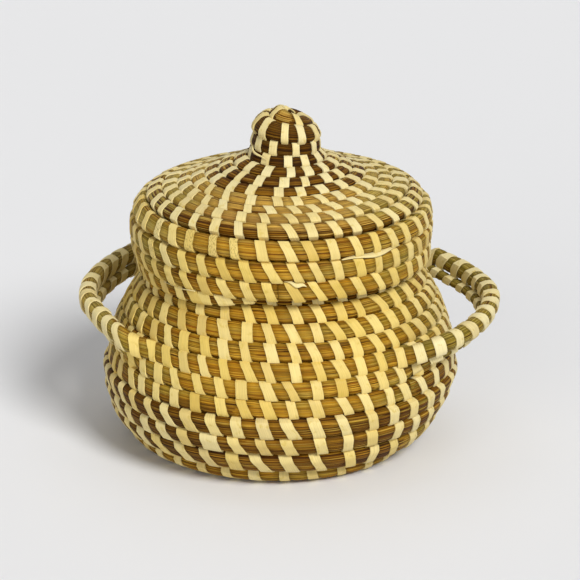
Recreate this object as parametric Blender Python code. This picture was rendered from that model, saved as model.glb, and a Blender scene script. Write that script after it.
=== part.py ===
"""Coiled sweetgrass basket with a lid, two side handles and a knob.

The basket is wound, not moulded: a bundle of grass runs round and round, up a smooth outline,
and moves on by its own thickness in each turn. Two bundles make the object, one for the basket
and one for the lid. Each changes colour on its way, so each is modelled as a row of bands that
follow one another along the same spiral. Two turns of the basket leave the wall at both sides,
one over the other, and are its handles; short bundles go on with the wall behind them.

Metres, Z up, standing on Z = 0. The handles lie along X and the photographed front faces -Y.
"""
import math

import bmesh
import bpy
import numpy as np

# The basket's outline: radius and height of the middle of the bundle, from the floor to the rim.
# The shoulder's height is given as its drop below the neck, where the lid comes down.
EYE_RADIUS = 0.0052
FOOT_RADIUS = 0.0630
LOW_WALL_RADIUS = 0.0750
LOW_WALL_HEIGHT = 0.0196
BELLY_RADIUS = 0.0820
BELLY_HEIGHT = 0.0392
WAIST_RADIUS = 0.0772
WAIST_HEIGHT = 0.0570
SHOULDER_RADIUS = 0.0680
NECK_RADIUS = 0.0573
NECK_HEIGHT = 0.0918
SHOULDER_DROP = 0.0163
RIM_RADIUS = 0.0530

# The lid's outline, with its heights measured up from the basket's neck.
LID_CLEARANCE = 0.0008
LID_RIM_RISE = 0.0060
LID_SIDE_SWELL = 0.0009
LID_SIDE_RISE = 0.0150
LID_SHOULDER_DRAW = 0.0001
LID_SHOULDER_RISE = 0.0238
DOME_EDGE_RADIUS = 0.0615
DOME_EDGE_RISE = 0.0303
DOME_RADIUS = 0.0460
DOME_RISE = 0.0355
SKIRT_RADIUS = 0.0270
SKIRT_RISE = 0.0432
KNOB_FOOT_RADIUS = 0.0160
KNOB_FOOT_RISE = 0.0497
KNOB_RADIUS = 0.0150
KNOB_RISE = 0.0570
CROWN_RADIUS = 0.0113
CROWN_RISE = 0.0648
TIP_RADIUS = 0.0050
TIP_RISE = 0.0697

# Thickness of the bundle, which is also how far one turn lies from the next.
BASE_CORD = 0.0094
FOOT_CORD = 0.0116
BELLY_CORD = 0.0098
HANDLE_CORD = 0.0088
NECK_CORD = 0.0086
KNOB_CORD = 0.0086
SKIRT_CORD = 0.0067
DOME_CORD = 0.0073
SIDE_CORD = 0.0090

# Turns, counted where each passes the front. The foot is turn 0 and the base lies before it.
BASE_TURNS = 6
FOOT_TURN_SHARE = 0.87
BELLY_END_TURN = 3.87
HANDLE_START_TURN = 4.5
HANDLE_SWAP_TURN = 5.5
HANDLE_END_TURN = 6.5
SHOULDER_END_TURN = 9.5
NECK_END_TURN = 13
RIM_END_TURN = 13.95
KNOB_END_TURN = 2.55
SKIRT_END_TURN = 6.6
DOME_END_TURN = 9.6
DARK_DOME_END_TURN = 10.6
SIDE_END_TURN = 13
LID_END_TURN = 13.96
QUARTER_SHARE = 0.25

# How far each handle bows out from the wall and rises, and the turn at its middle. Its lower cord
# is thinner, and tucked in under the upper one, and both stand higher at the back.
LEFT_BOW = 0.0186
RIGHT_BOW = 0.0240
LEFT_BOW_RISE = 0.0090
RIGHT_BOW_RISE = 0.0100
LOWER_BOW_TUCK = 0.0032
LOWER_BOW_SHARE = 0.66
BOW_BACK_LIFT = 0.0075
LEFT_BOW_PLACE_SHARE = 0.268
RIGHT_BOW_PLACE_SHARE = 0.752
BOW_HALF_TURN_SHARE = 0.138
BOW_FLATNESS_SHARE = 3.0
BOW_TAPER_SHARE = 0.6
BACKING_TIP = 0.0030

# Handmade: the base sits a little to the left of the mouth, and what lies above the foot stands
# higher on the right.
BASE_SHIFT = 0.0030
BELLY_TILT = 0.0017

# A bundle that ends is drawn down to this share of its thickness.
RIM_TAIL_SHARE = 0.20
LID_TAIL_SHARE = 0.34

# Clearances.
TURN_GAP = 0.0006
JOINT_GAP = 0.0003
SEAT_GAP = 0.0004

# How finely the shapes are cut.
CORD_SIDES = 6
TURN_POINTS = 24
COARSE_TURN_POINTS = 16
EYE_TURN_POINTS = 9
EYE_TURNS = 3
OUTLINE_STEPS = 24
TRAVEL_STEPS = 60
FACET_SHARE = math.cos(math.pi / CORD_SIDES)

MILLIMETRES = 1000

FRONT = -math.pi / 2
CLOCKWISE = -1
COUNTER_CLOCKWISE = 1

# Colours, linear RGB.
GOLD_GRASS = (0.42, 0.23, 0.05, 1.0)
DARK_GRASS = (0.085, 0.045, 0.014, 1.0)
BROWN_GRASS = (0.24, 0.125, 0.03, 1.0)


def clear_scene():
    """Remove everything that the file opened with."""
    for thing in list(bpy.data.objects):
        bpy.data.objects.remove(thing, do_unlink=True)


def grass(name, colour, roughness=0.72):
    """A dry plant fibre in one colour."""
    material = bpy.data.materials.new(name)
    material.use_nodes = True
    shader = material.node_tree.nodes["Principled BSDF"]
    shader.inputs["Base Color"].default_value = colour
    shader.inputs["Roughness"].default_value = roughness
    shader.inputs["Metallic"].default_value = 0.0
    material.diffuse_color = colour
    return material


def smooth_outline(corners):
    """A smooth line through the corners: distance along it, radius, height and slope angle."""
    corners = np.array(corners, dtype=float)
    spans = np.linalg.norm(np.diff(corners, axis=0), axis=1)
    knots = np.concatenate([[0.0], np.cumsum(spans)])
    slopes = np.gradient(corners, knots, axis=0)
    line = [corners[0]]
    for i, span in enumerate(spans):
        for step in range(1, OUTLINE_STEPS + 1):
            t = step / OUTLINE_STEPS
            start = (1 + 2 * t) * (1 - t) ** 2 * corners[i] + t * (1 - t) ** 2 * span * slopes[i]
            end = t * t * (3 - 2 * t) * corners[i + 1] - t * t * (1 - t) * span * slopes[i + 1]
            line.append(start + end)
    line = np.array(line)
    reach = np.concatenate([[0.0], np.cumsum(np.linalg.norm(np.diff(line, axis=0), axis=1))])
    heading = np.gradient(line, reach, axis=0)
    return reach, line[:, 0], line[:, 1], np.unwrap(np.arctan2(heading[:, 1], heading[:, 0]))


class Winding:
    """A bundle wound along an outline, which travels its own thickness in every turn."""

    def __init__(self, corners, cords, sense):
        self.reach, self.radii, self.heights, self.slopes = smooth_outline(corners)
        self.cord_turns, self.cords = zip(*cords)
        self.first, self.last = self.cord_turns[0], self.cord_turns[-1]
        self.sense = sense
        count = int(round((self.last - self.first) * TRAVEL_STEPS)) + 1
        self.turns = np.linspace(self.first, self.last, count)
        pace = np.interp(self.turns, self.cord_turns, self.cords)
        steps = (pace[1:] + pace[:-1]) / 2 * np.diff(self.turns)
        travel = np.concatenate([[0.0], np.cumsum(steps)])
        self.fit = self.reach[-1] / travel[-1]
        self.travel = travel * self.fit

    def cord(self, turn):
        """Thickness of the bundle at a turn."""
        return float(np.interp(turn, self.cord_turns, self.cords)) * self.fit

    def distance(self, turn):
        """Distance travelled along the outline at a turn."""
        return float(np.interp(turn, self.turns, self.travel))

    def section(self, distance):
        """Radius, height and slope of the outline at a distance along it."""
        radius = float(np.interp(distance, self.reach, self.radii))
        height = float(np.interp(distance, self.reach, self.heights))
        return radius, height, float(np.interp(distance, self.reach, self.slopes))

    def azimuth(self, turn):
        """Direction from the axis at a turn."""
        return FRONT + self.sense * 2 * math.pi * turn

    def cord_radius(self, turn, facet_turn=0.0):
        """Radius of the cord's section, which keeps clear of the turns before and after it."""
        radius, height, slope = self.section(self.distance(turn))
        room, bend = self.cord(turn), 0.0
        for other in (turn - 1, turn + 1):
            if self.first <= other <= self.last:
                near_radius, near_height, near_slope = self.section(self.distance(other))
                room = min(room, math.hypot(near_radius - radius, near_height - height))
                bend = max(bend, abs(near_slope - slope) / 2)
        return cord_radius(room, bend + facet_turn)


def cord_radius(room, turned=0.0):
    """Radius of a section with this room between centres, its flats turned from its neighbours."""
    facing = math.cos(max(math.pi / CORD_SIDES - turned, 0.0))
    return min((room - TURN_GAP) / (2 * facing), room / 2)


def ease(value):
    """0 below 0, 1 above 1, and smooth between."""
    value = min(max(value, 0.0), 1.0)
    return value * value * (3 - 2 * value)


def handmade(point):
    """Shift and tilt a point as the maker's hands left the basket, and press it flat on the floor."""
    x, y, z = point
    below = max(NECK_HEIGHT - z, 0.0) / NECK_HEIGHT
    lift = BELLY_TILT * x / BELLY_RADIUS * ease(z / BELLY_HEIGHT)
    return x - BASE_SHIFT * below, y, max(z + lift, 0.0)


def ring(centre, outward, slope, radius, facet_turn):
    """One cross-section of a cord, in the upright plane that faces outward."""
    points = []
    for side in range(CORD_SIDES):
        angle = 2 * math.pi * side / CORD_SIDES + facet_turn
        across = radius * (math.cos(angle) * math.cos(slope) - math.sin(angle) * math.sin(slope))
        up = radius * (math.cos(angle) * math.sin(slope) + math.sin(angle) * math.cos(slope))
        points.append((centre[0] + across * outward[0], centre[1] + across * outward[1], centre[2] + up))
    return points


def turn_stops(first, last, per_turn):
    """Turns at which a cord is cut, on one shared grid so that neighbours stay in step."""
    inner = range(math.floor(first * per_turn) + 1, math.ceil(last * per_turn))
    room = 1 / (4 * per_turn)
    kept = [i / per_turn for i in inner if first + room < i / per_turn < last - room]
    return [first] + kept + [last]


def joint_turn(winding, turn, way):
    """A band's end, drawn back from the joint by half of its gap."""
    radius = winding.section(winding.distance(turn))[0]
    return turn + way * JOINT_GAP / 2 / (2 * math.pi * radius)


def tube(name, rings, material, parent):
    """A closed cord through its cross-sections, flat at both ends."""
    mesh = bmesh.new()
    loops = [[mesh.verts.new(point) for point in points] for points in rings]
    for near, far in zip(loops, loops[1:]):
        for side in range(CORD_SIDES):
            other = (side + 1) % CORD_SIDES
            mesh.faces.new((near[side], near[other], far[other], far[side]))
    mesh.faces.new(list(reversed(loops[0])))
    mesh.faces.new(loops[-1])
    bmesh.ops.recalc_face_normals(mesh, faces=mesh.faces[:])
    data = bpy.data.meshes.new(name)
    mesh.to_mesh(data)
    mesh.free()
    data.materials.append(material)
    data.shade_smooth()
    data.set_sharp_from_angle(angle=math.radians(75))
    thing = bpy.data.objects.new(name, data)
    bpy.context.scene.collection.objects.link(thing)
    thing.parent = parent
    return thing


def point_to_edge(point, start, end):
    """Distance from a point to a straight edge."""
    along = end - start
    share = np.dot(point - start, along) / np.dot(along, along)
    return np.linalg.norm(point - start - min(max(share, 0.0), 1.0) * along)


def ring_gap(near, far):
    """Least distance between two cross-sections that face each other."""
    near, far = np.array(near), np.array(far)
    gaps = []
    for one, other in ((near, far), (far, near)):
        for point in one:
            for side in range(CORD_SIDES):
                gaps.append(point_to_edge(point, other[side], other[(side + 1) % CORD_SIDES]))
    return min(gaps)


def report_gap(name, stops, rings):
    """Print the least gap between each turn of a cord and its next."""
    gaps = []
    for turn, points in zip(stops, rings):
        for later, others in zip(stops, rings):
            if math.isclose(later, turn + 1):
                gaps.append(ring_gap(points, others))
    if gaps:
        print(f"{name}: least gap to itself {min(gaps) * MILLIMETRES:.2f} mm")


# The basket.

def basket_winding():
    """The basket's bundle, from the eye of the base to the rim under the lid."""
    base_height = (BASE_CORD - TURN_GAP) / 2 * FACET_SHARE
    foot_height = FOOT_CORD / 2
    tail_share = (1 + RIM_TAIL_SHARE + RIM_TAIL_SHARE * FACET_SHARE) / 2 - (NECK_END_TURN + 1 - RIM_END_TURN)
    rim_height = lid_underside(RIM_RADIUS) - SEAT_GAP - tail_share * NECK_CORD
    corners = (
        (EYE_RADIUS, base_height),
        (FOOT_RADIUS - BASE_CORD - FOOT_CORD, base_height),
        (FOOT_RADIUS - (BASE_CORD + FOOT_CORD) / 2, base_height),
        (FOOT_RADIUS, foot_height),
        (LOW_WALL_RADIUS, LOW_WALL_HEIGHT),
        (BELLY_RADIUS, BELLY_HEIGHT),
        (WAIST_RADIUS, WAIST_HEIGHT),
        (SHOULDER_RADIUS, NECK_HEIGHT - SHOULDER_DROP),
        (NECK_RADIUS, NECK_HEIGHT),
        (RIM_RADIUS, rim_height),
    )
    cords = (
        (-BASE_TURNS, BASE_CORD),
        (-1, BASE_CORD),
        (0, FOOT_CORD),
        (FOOT_TURN_SHARE, FOOT_CORD),
        (BELLY_END_TURN, BELLY_CORD),
        (HANDLE_SWAP_TURN, HANDLE_CORD),
        (SHOULDER_END_TURN, HANDLE_CORD),
        (NECK_END_TURN, NECK_CORD),
    )
    return Winding(corners, cords, CLOCKWISE)


def bow_shares(turn):
    """How far out of the wall, and how far up, a handle row is: 0 on the wall, 1 at its middle."""
    passed = turn % 1.0
    middle = LEFT_BOW_PLACE_SHARE if passed < 2 * QUARTER_SHARE else RIGHT_BOW_PLACE_SHARE
    off = abs(passed - middle) / BOW_HALF_TURN_SHARE
    reach = ease(BOW_FLATNESS_SHARE * (1 - off))
    return reach * (1 - BOW_TAPER_SHARE * off ** 1.5), reach * reach


def upper_bow(winding, turn):
    """Radius and height of the upper handle row, out of the wall and above it on the bows."""
    radius, height, slope = winding.section(winding.distance(turn))
    out_share, rise_share = bow_shares(turn)
    out, up = (LEFT_BOW, LEFT_BOW_RISE) if turn % 1.0 < 2 * QUARTER_SHARE else (RIGHT_BOW, RIGHT_BOW_RISE)
    lift = BOW_BACK_LIFT * math.sin(winding.azimuth(turn))
    return radius + out_share * out, height + rise_share * (up + lift)


def lower_bow(winding, turn):
    """Radius and height of the lower handle row, which a bow tucks in against the upper one."""
    radius, height, slope = winding.section(winding.distance(turn))
    over, above = upper_bow(winding, turn + 1)
    room = winding.cord_radius(turn + 1) + LOWER_BOW_SHARE * winding.cord_radius(turn) + TURN_GAP
    drop = math.sqrt(room ** 2 - LOWER_BOW_TUCK ** 2)
    share = bow_shares(turn)[1]
    return radius + share * (over - LOWER_BOW_TUCK - radius), height + share * (above - drop - height)


def basket_place(winding, turn, bowed, lower):
    """Centre of the basket's bundle at a turn, on the wall or on a handle's bow."""
    radius, height, slope = winding.section(winding.distance(turn))
    lean = slope - math.pi / 2
    if bowed:
        radius, height = lower_bow(winding, turn) if lower else upper_bow(winding, turn)
        lean *= 1 - bow_shares(turn)[1]
    angle = winding.azimuth(turn)
    return (radius * math.cos(angle), radius * math.sin(angle), height), lean


def basket_band(name, winding, first, last, material, parent, bowed=False, lower=False,
                per_turn=TURN_POINTS, facet_turn=0.0, thickness=None):
    """One colour of the basket's bundle, from one turn to another."""
    stops = turn_stops(first, last, per_turn)
    if bowed:
        stops = sorted(set(stops) | set(bow_stops(stops)))
    rings = []
    for turn in stops:
        centre, slope = basket_place(winding, turn, bowed, lower)
        outward = level_outward(lambda at: basket_place(winding, at, bowed, lower)[0], turn, winding.sense)
        radius = thickness(turn) / 2 if thickness else winding.cord_radius(turn, facet_turn)
        if lower:
            radius *= 1 - (1 - LOWER_BOW_SHARE) * bow_shares(turn)[1]
        rings.append([handmade(point) for point in ring(centre, outward, slope, radius, facet_turn)])
    report_gap(name, stops, rings)
    return tube(name, rings, material, parent)


def bow_stops(stops):
    """Extra cuts half way between the others on the bows."""
    halves = [(near + far) / 2 for near, far in zip(stops, stops[1:])]
    return [turn for turn in halves if bow_shares(turn)[1] > 0]


def level_outward(place, turn, sense):
    """Level direction square to a path, pointing away from the axis."""
    step = 1 / (TURN_POINTS * TURN_POINTS)
    before, after = place(turn - step), place(turn + step)
    along = np.array([after[0] - before[0], after[1] - before[1]])
    along /= np.linalg.norm(along)
    return (sense * along[1], -sense * along[0])


def backing(name, winding, middle, lower, material, parent):
    """A short bundle that fills the wall behind a handle, thinning to both ends."""
    step = 1 / (TURN_POINTS * TURN_POINTS)
    bow = [middle + i * step for i in range(-TURN_POINTS * CORD_SIDES, TURN_POINTS * CORD_SIDES + 1)]
    bow = np.array([basket_place(winding, turn, True, lower)[0] for turn in bow])

    def room(turn):
        wall = np.array(basket_place(winding, turn, False, lower)[0])
        return 2 * (np.linalg.norm(bow - wall, axis=1).min() - winding.cord_radius(turn) - TURN_GAP)

    def thickness(turn):
        return min((winding.cord(turn) - JOINT_GAP) / FACET_SHARE, room(turn))

    half = step
    while min(room(middle - half - step), room(middle + half + step)) > BACKING_TIP:
        half += step
    basket_band(name, winding, middle - half, middle + half, material, parent, thickness=thickness)


def build_basket(materials, parent):
    """All the bundles of the basket."""
    winding = basket_winding()
    bands = (
        ("foot_row", -1, FOOT_TURN_SHARE, "gold"),
        ("belly_band", FOOT_TURN_SHARE, BELLY_END_TURN, "dark"),
        ("gold_belly_row", BELLY_END_TURN, HANDLE_START_TURN, "gold"),
        ("shoulder_band", HANDLE_END_TURN, SHOULDER_END_TURN, "gold"),
        ("neck_band", SHOULDER_END_TURN, NECK_END_TURN, "dark"),
    )
    for name, first, last, colour in bands:
        start = joint_turn(winding, first, 1)
        end = joint_turn(winding, last, -1)
        points = COARSE_TURN_POINTS if name == "neck_band" else TURN_POINTS
        basket_band(name, winding, start, end, materials[colour], parent, per_turn=points)
    flat_down = math.pi / CORD_SIDES
    basket_band("base_eye", winding, -BASE_TURNS, joint_turn(winding, -EYE_TURNS, -1), materials["gold"], parent,
                per_turn=EYE_TURN_POINTS, facet_turn=flat_down)
    basket_band("base_coil", winding, joint_turn(winding, -EYE_TURNS, 1), joint_turn(winding, -1, -1),
                materials["gold"], parent, per_turn=COARSE_TURN_POINTS, facet_turn=flat_down)
    rows = (
        ("lower_handle_row", HANDLE_START_TURN, HANDLE_SWAP_TURN, True),
        ("upper_handle_row", HANDLE_SWAP_TURN, HANDLE_END_TURN, False),
    )
    for name, first, last, lower in rows:
        start = joint_turn(winding, first, 1)
        end = joint_turn(winding, last, -1)
        basket_band(name, winding, start, end, materials["gold"], parent, bowed=True, lower=lower)
    for side, bow_turn in (("left", LEFT_BOW_PLACE_SHARE), ("right", RIGHT_BOW_PLACE_SHARE)):
        for level, first, lower in (("lower", HANDLE_START_TURN, True), ("upper", HANDLE_SWAP_TURN, False)):
            middle = math.floor(first) + bow_turn
            if middle < first:
                middle += 1
            backing(f"{side}_{level}_wall_piece", winding, middle, lower, materials["gold"], parent)
    build_rim(winding, materials["brown"], parent)
    return winding


def build_rim(winding, material, parent):
    """The last turn of the basket, thinned so that the mouth ends level."""
    first = joint_turn(winding, NECK_END_TURN, 1)
    stops = turn_stops(first, RIM_END_TURN, COARSE_TURN_POINTS)
    rings = []
    for turn in stops:
        share = 1 - (1 - RIM_TAIL_SHARE) * (turn - NECK_END_TURN) / (RIM_END_TURN - NECK_END_TURN)
        cord = share * winding.cord(NECK_END_TURN)
        under = turn - 1
        radius, height, slope = winding.section(winding.distance(under))
        step = (winding.cord(under) + cord) / 2
        angle = winding.azimuth(turn)
        outward = (math.cos(angle), math.sin(angle))
        level = radius + step * math.cos(slope)
        centre = (level * outward[0], level * outward[1], height + step * math.sin(slope))
        rings.append([handmade(point) for point in ring(centre, outward, slope - math.pi / 2, cord_radius(cord), 0.0)])
    report_gap("rim_row", stops, rings)
    return tube("rim_row", rings, material, parent)


# The lid.

def lid_winding():
    """The lid's bundle, from the tip of the knob to the loose end under the side."""
    rim_radius = NECK_RADIUS + NECK_CORD / 2 + LID_CLEARANCE + SIDE_CORD / 2
    corners = (
        (TIP_RADIUS, TIP_RISE),
        (CROWN_RADIUS, CROWN_RISE),
        (KNOB_RADIUS, KNOB_RISE),
        (KNOB_FOOT_RADIUS, KNOB_FOOT_RISE),
        (SKIRT_RADIUS, SKIRT_RISE),
        (DOME_RADIUS, DOME_RISE),
        (DOME_EDGE_RADIUS, DOME_EDGE_RISE),
        (rim_radius - LID_SHOULDER_DRAW, LID_SHOULDER_RISE),
        (rim_radius + LID_SIDE_SWELL, LID_SIDE_RISE),
        (rim_radius, LID_RIM_RISE),
    )
    corners = [(radius, NECK_HEIGHT + rise) for radius, rise in corners]
    cords = (
        (0, KNOB_CORD),
        (KNOB_END_TURN - 1, KNOB_CORD),
        (KNOB_END_TURN, SKIRT_CORD),
        (SKIRT_END_TURN, SKIRT_CORD),
        (DOME_END_TURN, DOME_CORD),
        (DARK_DOME_END_TURN, SIDE_CORD),
        (SIDE_END_TURN, SIDE_CORD),
    )
    return Winding(corners, cords, COUNTER_CLOCKWISE)


def lid_underside(radius):
    """Height of the lid's underside at a radius inside its dome."""
    winding = lid_winding()
    distance = float(np.interp(radius, winding.radii[:dome_end(winding)], winding.reach[:dome_end(winding)]))
    turn = float(np.interp(distance, winding.travel, winding.turns))
    return winding.section(distance)[1] - cord_radius(winding.cord(turn))


def dome_end(winding):
    """Where along the outline the dome's edge lies."""
    return int(np.searchsorted(winding.radii, DOME_EDGE_RADIUS))


def lid_band(name, winding, first, last, material, parent, tail=False):
    """One colour of the lid's bundle, from one turn to another, or its thinned end."""
    stops = turn_stops(first, last, TURN_POINTS if last > SKIRT_END_TURN else COARSE_TURN_POINTS)
    rings = []
    for turn in stops:
        angle = winding.azimuth(turn)
        outward = (math.cos(angle), math.sin(angle))
        if tail:
            passed = (turn - first) / (last - first)
            share = 1 - (1 - LID_TAIL_SHARE) * passed * passed
            cord = share * winding.cord(turn)
            radius, height, slope = winding.section(winding.distance(turn - 1))
            step = (winding.cord(turn - 1) + cord) / 2
            radius += step * math.cos(slope)
            height += step * math.sin(slope)
        else:
            radius, height, slope = winding.section(winding.distance(turn))
        thick = cord_radius(cord) if tail else winding.cord_radius(turn)
        centre = (radius * outward[0], radius * outward[1], height)
        rings.append([handmade(point) for point in ring(centre, outward, slope + math.pi / 2, thick, 0.0)])
    report_gap(name, stops, rings)
    return tube(name, rings, material, parent)


def build_lid(materials, parent):
    """All the bundles of the lid."""
    winding = lid_winding()
    bands = (
        ("knob_coil", 0, KNOB_END_TURN, "brown"),
        ("knob_skirt_band", KNOB_END_TURN, SKIRT_END_TURN, "dark"),
        ("gold_dome_band", SKIRT_END_TURN, DOME_END_TURN, "gold"),
        ("dark_dome_row", DOME_END_TURN, DARK_DOME_END_TURN, "dark"),
        ("lid_side_band", DARK_DOME_END_TURN, SIDE_END_TURN, "gold"),
    )
    for name, first, last, colour in bands:
        start = joint_turn(winding, first, 1) if first else first
        lid_band(name, winding, start, joint_turn(winding, last, -1), materials[colour], parent)
    lid_band("lid_end_row", winding, joint_turn(winding, SIDE_END_TURN, 1), LID_END_TURN, materials["gold"],
             parent, tail=True)


def main():
    clear_scene()
    materials = {
        "gold": grass("gold_sweetgrass", GOLD_GRASS),
        "dark": grass("dark_sweetgrass", DARK_GRASS),
        "brown": grass("brown_sweetgrass", BROWN_GRASS),
    }
    frame = bpy.data.objects.new("basket_frame", None)
    bpy.context.scene.collection.objects.link(frame)
    lid_frame = bpy.data.objects.new("lid_frame", None)
    bpy.context.scene.collection.objects.link(lid_frame)
    lid_frame.parent = frame
    winding = build_basket(materials, frame)
    build_lid(materials, lid_frame)
    left = basket_place(winding, math.floor(HANDLE_END_TURN) + QUARTER_SHARE, True, False)[0]
    right = basket_place(winding, math.ceil(HANDLE_SWAP_TURN) - QUARTER_SHARE, True, False)[0]
    frame.location.x = -(handmade(left)[0] + handmade(right)[0]) / 2
    bpy.context.view_layer.update()


main()
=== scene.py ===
# %% [markdown]
# # A coiled sweetgrass basket with a lid
#
# The real basket is one long bundle of dry grass, wound round and round and sewn to itself with
# pale strips of palm leaf. A second bundle makes the lid, from the tip of the knob downwards.
# This lesson dresses the plain solids of the basket: it lays a finely modelled bundle on the
# same winding, sews it with palm strips one by one, and lights it like a studio photograph.
#
# First the imported model is loaded.

import math

import bpy
import numpy as np
from mathutils import Matrix, Vector


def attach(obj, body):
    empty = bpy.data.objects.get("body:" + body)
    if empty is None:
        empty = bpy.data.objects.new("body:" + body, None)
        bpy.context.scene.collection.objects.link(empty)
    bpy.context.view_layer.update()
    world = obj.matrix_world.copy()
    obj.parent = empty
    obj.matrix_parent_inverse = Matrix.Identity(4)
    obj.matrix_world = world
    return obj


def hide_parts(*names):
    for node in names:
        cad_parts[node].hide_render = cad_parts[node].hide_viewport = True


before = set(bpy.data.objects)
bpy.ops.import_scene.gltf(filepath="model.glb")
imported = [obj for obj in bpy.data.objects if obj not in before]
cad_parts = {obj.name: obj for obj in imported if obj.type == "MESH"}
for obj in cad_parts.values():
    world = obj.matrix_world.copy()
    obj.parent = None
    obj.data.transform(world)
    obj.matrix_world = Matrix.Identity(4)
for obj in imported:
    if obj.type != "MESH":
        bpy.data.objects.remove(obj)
scene = bpy.context.scene
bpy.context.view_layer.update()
bpy.ops.object.select_all(action="DESELECT")

# %% [markdown]
# ## The camera
#
# The photograph was taken from a little above, with a long lens, so the far side of the basket is
# hardly smaller than the near side. The camera is placed by the point that it looks at, its
# distance and its height angle. A small shift moves the picture without turning the camera.

# %% Camera
PICTURE = 580
AIM_IN_PICTURE = (285.19, 276.33)
BASKET_AXIS = -0.0030917
AIM_RIGHT, AIM_HEIGHT = 0.001, 0.080
AIM = Vector((BASKET_AXIS + AIM_RIGHT, 0.0, AIM_HEIGHT))
DISTANCE = 1.5
ELEVATION = math.radians(19.71)
ROLL = math.radians(0.39)
LENS = 193.97

camera_data = bpy.data.cameras.new("camera")
camera_data.lens = LENS
camera_data.shift_x = (PICTURE / 2 - AIM_IN_PICTURE[0]) / PICTURE
camera_data.shift_y = -(PICTURE / 2 - AIM_IN_PICTURE[1]) / PICTURE
camera = bpy.data.objects.new("camera", camera_data)
scene.collection.objects.link(camera)
looking = Vector((0.0, math.cos(ELEVATION), -math.sin(ELEVATION)))
level = Vector((1.0, 0.0, 0.0))
above = level.cross(looking)
right = level * math.cos(ROLL) + above * math.sin(ROLL)
up = above * math.cos(ROLL) - level * math.sin(ROLL)
turned = Matrix((right, up, -looking)).transposed().to_4x4()
camera.matrix_world = Matrix.Translation(AIM - looking * DISTANCE) @ turned
scene.camera = camera
print("camera at", [round(x, 3) for x in camera.location])

# %% [markdown]
# ## Floor, world and lamps
#
# The basket stands on a plain pale sweep. The photograph's background is one even pale grey, and
# only the basket's soft shadow darkens it, on the left. A lamp close by would light the floor
# unevenly, so the key is a sun with a wide angle, high in front on the right: it lights every
# place on the floor alike, and its shadow has soft edges. A low sun from the left fills that
# shadow a little, a high one lights the lid, and the world gives the rest.

# %% Colour helper
def colour(code):
    """Linear colour from an sRGB hex value such as C8A24A."""
    parts = [int(code[i:i + 2], 16) / 255 for i in (0, 2, 4)]
    linear = [p / 12.92 if p <= 0.04045 else ((p + 0.055) / 1.055) ** 2.4 for p in parts]
    return (*linear, 1.0)


# %% Node helper
def add(tree, kind, links=None, **settings):
    """Add a node, set its fields, and link or set its inputs by name."""
    node = tree.nodes.new("ShaderNode" + kind)
    for name, value in settings.items():
        setattr(node, name, value)
    for name, value in (links or {}).items():
        if isinstance(value, bpy.types.NodeSocket):
            tree.links.new(value, node.inputs[name])
        else:
            node.inputs[name].default_value = value
    return node


# %% Floor
BACKDROP = colour("E9E9EA")
FLOOR_SIDE = 6.0

bpy.ops.mesh.primitive_plane_add(size=FLOOR_SIDE, location=(0, 0, 0))
floor = bpy.context.object
floor.name = "floor"
floor_paint = bpy.data.materials.new("pale_matt_sweep")
floor_paint.use_nodes = True
shader = floor_paint.node_tree.nodes["Principled BSDF"]
shader.inputs["Base Color"].default_value = BACKDROP
shader.inputs["Roughness"].default_value = 0.9
shader.inputs["Specular IOR Level"].default_value = 0.1
floor.data.materials.append(floor_paint)

# %% World
world = bpy.data.worlds.new("studio")
world.use_nodes = True
scene.world = world
tree = world.node_tree
background = tree.nodes["Background"]
background.inputs["Color"].default_value = colour("F6F6F6")
background.inputs["Strength"].default_value = 0.24
shown = add(tree, "Background", {"Color": BACKDROP, "Strength": 1.0})
rays = add(tree, "LightPath")
seen_by = {0: rays.outputs["Is Camera Ray"], 1: rays.outputs["Is Glossy Ray"]}
seen = add(tree, "Math", seen_by, operation="MAXIMUM")
mix = add(tree, "MixShader", {0: seen.outputs[0], 1: background.outputs[0], 2: shown.outputs[0]})
tree.links.new(mix.outputs[0], tree.nodes["World Output"].inputs["Surface"])


# %% Lights
def sun(name, azimuth, height, spread, strength):
    """A sun from an azimuth right of the front and a height over the floor, in degrees."""
    data = bpy.data.lights.new(name, "SUN")
    data.energy = strength
    data.angle = math.radians(spread)
    lamp = bpy.data.objects.new(name, data)
    azimuth, height = math.radians(azimuth), math.radians(height)
    level = math.cos(height)
    toward = Vector((math.sin(azimuth) * level, -math.cos(azimuth) * level, math.sin(height)))
    lamp.rotation_euler = toward.to_track_quat("Z", "Y").to_euler()
    scene.collection.objects.link(lamp)
    print(name, "from", [round(x, 2) for x in toward])


sun("key_light", 31, 41, 22, 2.70)
sun("front_light", -28, 18, 45, 0.76)
sun("top_light", 185, 70, 50, 0.40)
scene.view_settings.view_transform = "Standard"

# %% [markdown]
# ## The winding
#
# Everything here is sewn along one spiral, so the spiral comes first. It repeats the sizes of the
# solids: an outline of radius and height, smoothed, along which the bundle moves on by its own
# thickness in each turn. Turns are counted where each row passes the front. The basket's foot is
# turn 0, and its bundle goes round clockwise as seen from above; the lid's goes the other way.
# A formula keeps the rows as evenly spaced as the solids, which points placed by hand would not.

# %% Outlines and thicknesses, in metres
FRONT = -math.pi / 2
TURN_GAP = 0.0006
SEAT_GAP = 0.0004
FACET_SHARE = math.cos(math.pi / 6)
NECK = (0.0573, 0.0918)
BELLY = (0.0820, 0.0392)
DOME_RADIUS = 0.0615
NECK_CORD = 0.0086
KNOB_CORD = 0.0086
SKIRT_CORD = 0.0067
DOME_CORD = 0.0073
SIDE_CORD = 0.0090
SHOULDER_CORD = 0.0088
BASE_CORD = 0.0094
FOOT_CORD = 0.0116
BELLY_CORD = 0.0098
FOOT_RADIUS = 0.0630
EYE_RADIUS = 0.0052
BASE_MIDDLE = (BASE_CORD - TURN_GAP) / 2 * FACET_SHARE
LID_CLEARANCE = 0.0008
LID_RADIUS = NECK[0] + NECK_CORD / 2 + LID_CLEARANCE + SIDE_CORD / 2

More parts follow.
